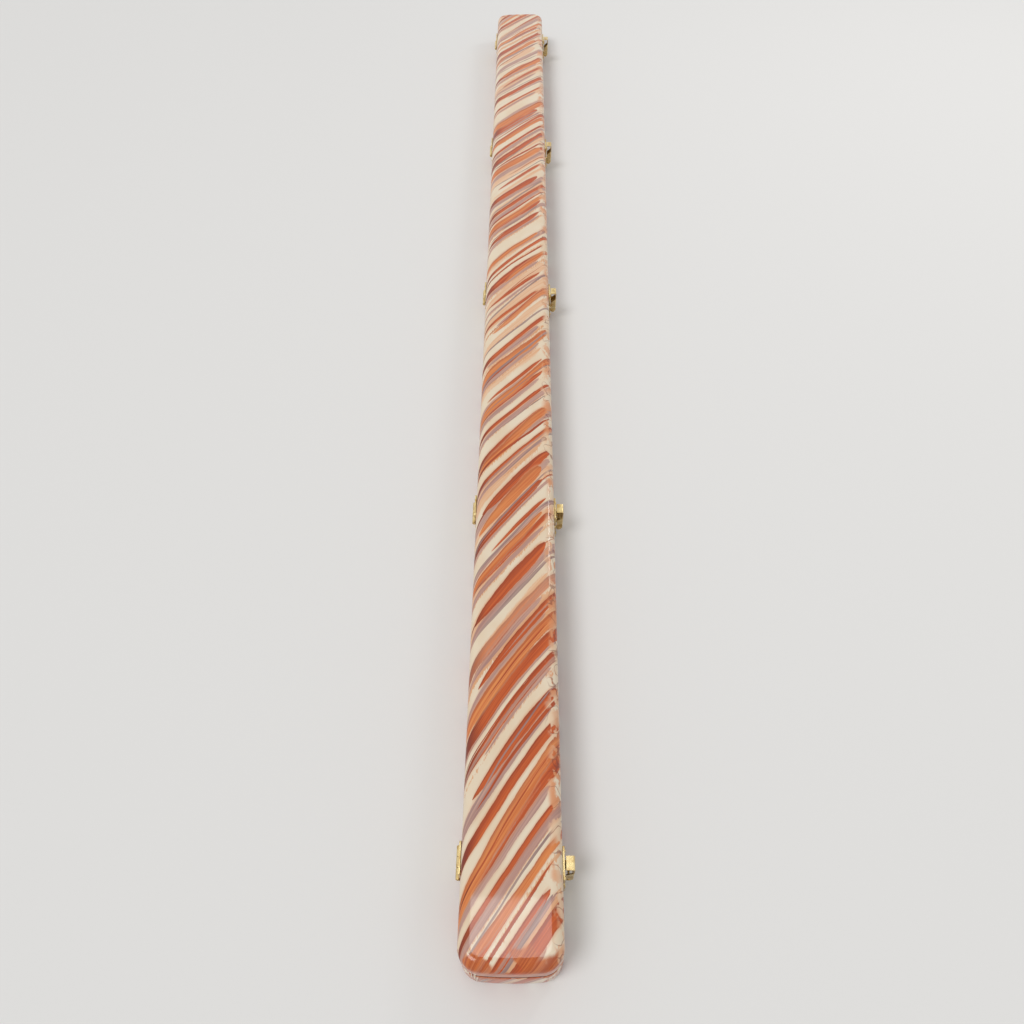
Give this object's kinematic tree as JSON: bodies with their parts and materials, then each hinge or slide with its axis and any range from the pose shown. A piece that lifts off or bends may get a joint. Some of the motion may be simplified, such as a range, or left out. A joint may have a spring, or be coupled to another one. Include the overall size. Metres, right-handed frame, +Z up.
{
  "type": "hinged instrument case",
  "caption": "Long slim hinged case with rounded ends, a patterned gloss covering, brass butt hinges, brass snap latches and a padded interior.",
  "frame": {"origin": "middle of the underside, on the surface the case lies on", "axes": "+Y along the case, +X towards the latches, +Z up; the hinges are on the -X side"},
  "size_m": [0.0922, 1.524, 0.05],
  "materials": {
    "cover_vinyl": "gloss vinyl with a brushed marbled pattern",
    "bottom_leatherette": "grained leatherette",
    "brass": "polished, lightly worn",
    "wood": "bare",
    "plush_lining": "short plush",
    "cradle_foam": "plush-covered foam"
  },
  "bodies": {
    "base": {"base_cover": "cover_vinyl", "base_bottom_sheet": "bottom_leatherette", "base_panel": "wood", "base_rail_hinge_side": "wood", "base_rail_latch_side": "wood", "base_end_block_near": "wood", "base_end_block_far": "wood", "base_lining": "plush_lining", "cradle_1": "cradle_foam", "cradle_2": "cradle_foam", "cradle_3": "cradle_foam", "cradle_4": "cradle_foam", "hinge_1_base_leaf": "brass", "hinge_1_pin": "brass", "latch_1_plate": "brass", "latch_1_pin": "brass", "hinge_2_base_leaf": "brass", "hinge_2_pin": "brass", "latch_2_plate": "brass", "latch_2_pin": "brass", "hinge_3_base_leaf": "brass", "hinge_3_pin": "brass", "latch_3_plate": "brass", "latch_3_pin": "brass", "hinge_4_base_leaf": "brass", "hinge_4_pin": "brass", "latch_4_plate": "brass", "latch_4_pin": "brass", "hinge_5_base_leaf": "brass", "hinge_5_pin": "brass", "latch_5_plate": "brass", "latch_5_pin": "brass"},
    "lid": {"lid_cover": "cover_vinyl", "lid_panel": "wood", "lid_rail_hinge_side": "wood", "lid_rail_latch_side": "wood", "lid_end_block_near": "wood", "lid_end_block_far": "wood", "lid_lining": "plush_lining", "hold_down_pad_1": "cradle_foam", "hold_down_pad_2": "cradle_foam", "hold_down_pad_3": "cradle_foam", "hold_down_pad_4": "cradle_foam", "hinge_1_lid_leaf": "brass", "latch_1_keeper": "brass", "hinge_2_lid_leaf": "brass", "latch_2_keeper": "brass", "hinge_3_lid_leaf": "brass", "latch_3_keeper": "brass", "hinge_4_lid_leaf": "brass", "latch_4_keeper": "brass", "hinge_5_lid_leaf": "brass", "latch_5_keeper": "brass"},
    "latch_1": {"latch_1_lever": "brass"},
    "latch_2": {"latch_2_lever": "brass"},
    "latch_3": {"latch_3_lever": "brass"},
    "latch_4": {"latch_4_lever": "brass"},
    "latch_5": {"latch_5_lever": "brass"}
  },
  "joints": [
    {"name": "lid_hinge", "type": "hinge", "parent": "base", "child": "lid", "pos_m": [-0.0415, 0, 0.028], "axis": [0, -1, 0], "range_deg": [0, 180]},
    {"name": "latch_1_swing", "type": "hinge", "parent": "base", "child": "latch_1", "pos_m": [0.04405, -0.685, 0.013], "axis": [0, 1, 0], "range_deg": [0, 109]},
    {"name": "latch_2_swing", "type": "hinge", "parent": "base", "child": "latch_2", "pos_m": [0.04405, -0.3425, 0.013], "axis": [0, 1, 0], "range_deg": [0, 109]},
    {"name": "latch_3_swing", "type": "hinge", "parent": "base", "child": "latch_3", "pos_m": [0.04405, 0, 0.013], "axis": [0, 1, 0], "range_deg": [0, 109]},
    {"name": "latch_4_swing", "type": "hinge", "parent": "base", "child": "latch_4", "pos_m": [0.04405, 0.3425, 0.013], "axis": [0, 1, 0], "range_deg": [0, 109]},
    {"name": "latch_5_swing", "type": "hinge", "parent": "base", "child": "latch_5", "pos_m": [0.04405, 0.685, 0.013], "axis": [0, 1, 0], "range_deg": [0, 109]}
  ],
  "couplings": [
    {"joint": "latch_1_swing", "follows": "lid_hinge", "ratio": 0.6},
    {"joint": "latch_2_swing", "follows": "lid_hinge", "ratio": 0.6},
    {"joint": "latch_3_swing", "follows": "lid_hinge", "ratio": 0.6},
    {"joint": "latch_4_swing", "follows": "lid_hinge", "ratio": 0.6},
    {"joint": "latch_5_swing", "follows": "lid_hinge", "ratio": 0.6}
  ]
}
